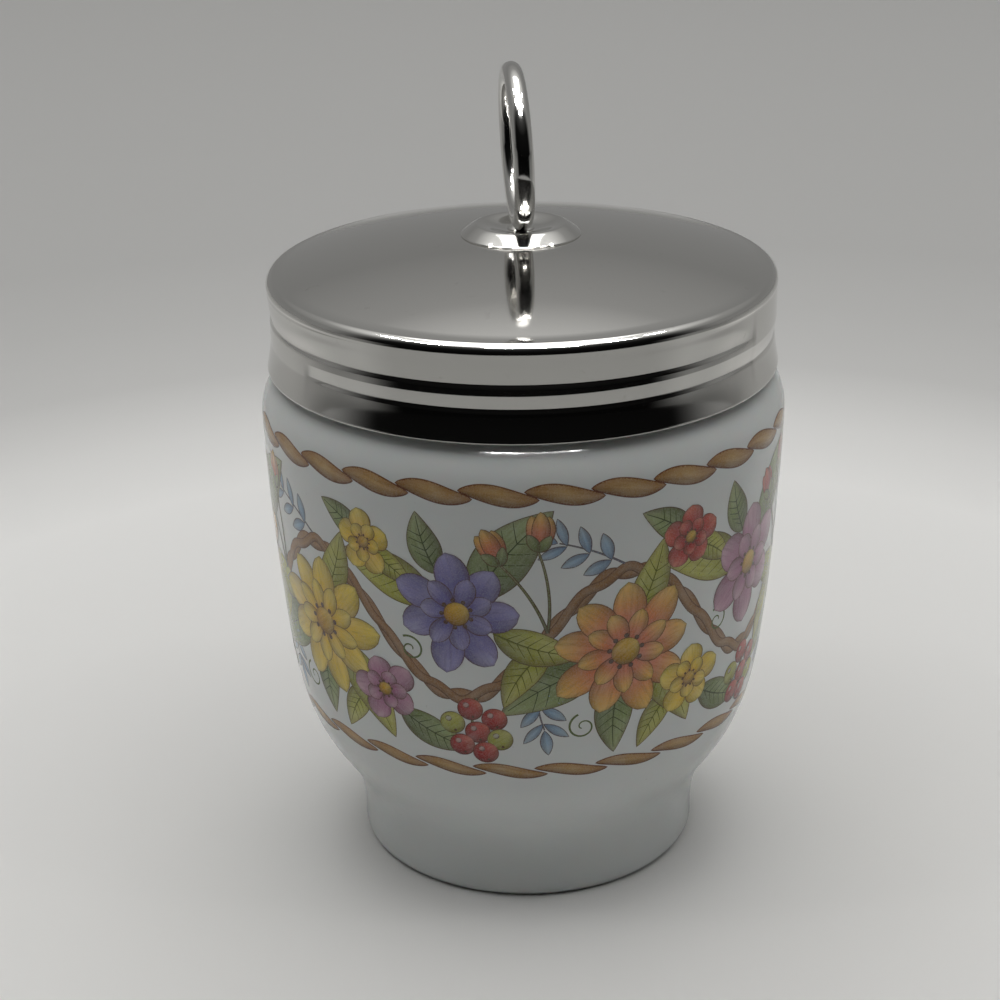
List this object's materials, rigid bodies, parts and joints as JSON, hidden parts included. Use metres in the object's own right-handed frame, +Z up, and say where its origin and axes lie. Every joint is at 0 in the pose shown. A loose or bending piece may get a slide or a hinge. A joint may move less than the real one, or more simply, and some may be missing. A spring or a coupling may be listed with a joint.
{
  "type": "egg coddler",
  "caption": "Footed porcelain egg coddler with a domed metal screw lid and a fixed lifting ring; the lid unscrews from the threaded neck.",
  "frame": {"origin": "centre of the foot ring's rest plane, on the axis of the cup", "axes": "+Z up along the axis of the cup and the screw thread; -Y is the front that the picture shows, +X is to its right"},
  "size_m": [0.073, 0.073, 0.1136],
  "materials": {
    "porcelain": "clear glossy glaze over cool white porcelain, with a fired on-glaze print",
    "lid_metal": "bright polished plate on pressed sheet, with fine hairline wear",
    "rosette_metal": "bright polished plate",
    "ring_metal": "bright polished plate, slightly drawn along the wire",
    "washer_metal": "plain steel"
  },
  "bodies": {
    "cup": {"porcelain_cup": "porcelain"},
    "carrier": {"backing_washer": "washer_metal"},
    "lid": {"lid_shell": "lid_metal", "ring_rosette": "rosette_metal", "lifting_ring": "ring_metal"}
  },
  "joints": [
    {"name": "lid_rise", "type": "slide", "parent": "cup", "child": "carrier", "axis": [0, 0, 1], "range_m": [0, 0.00395]},
    {"name": "lid_turn", "type": "hinge", "parent": "carrier", "child": "lid", "pos_m": [0, 0, 0.09], "axis": [0, 0, 1], "range_deg": [0, 450]}
  ],
  "couplings": [
    {"joint": "lid_rise", "follows": "lid_turn", "m_per_rad": 0.00050134}
  ]
}
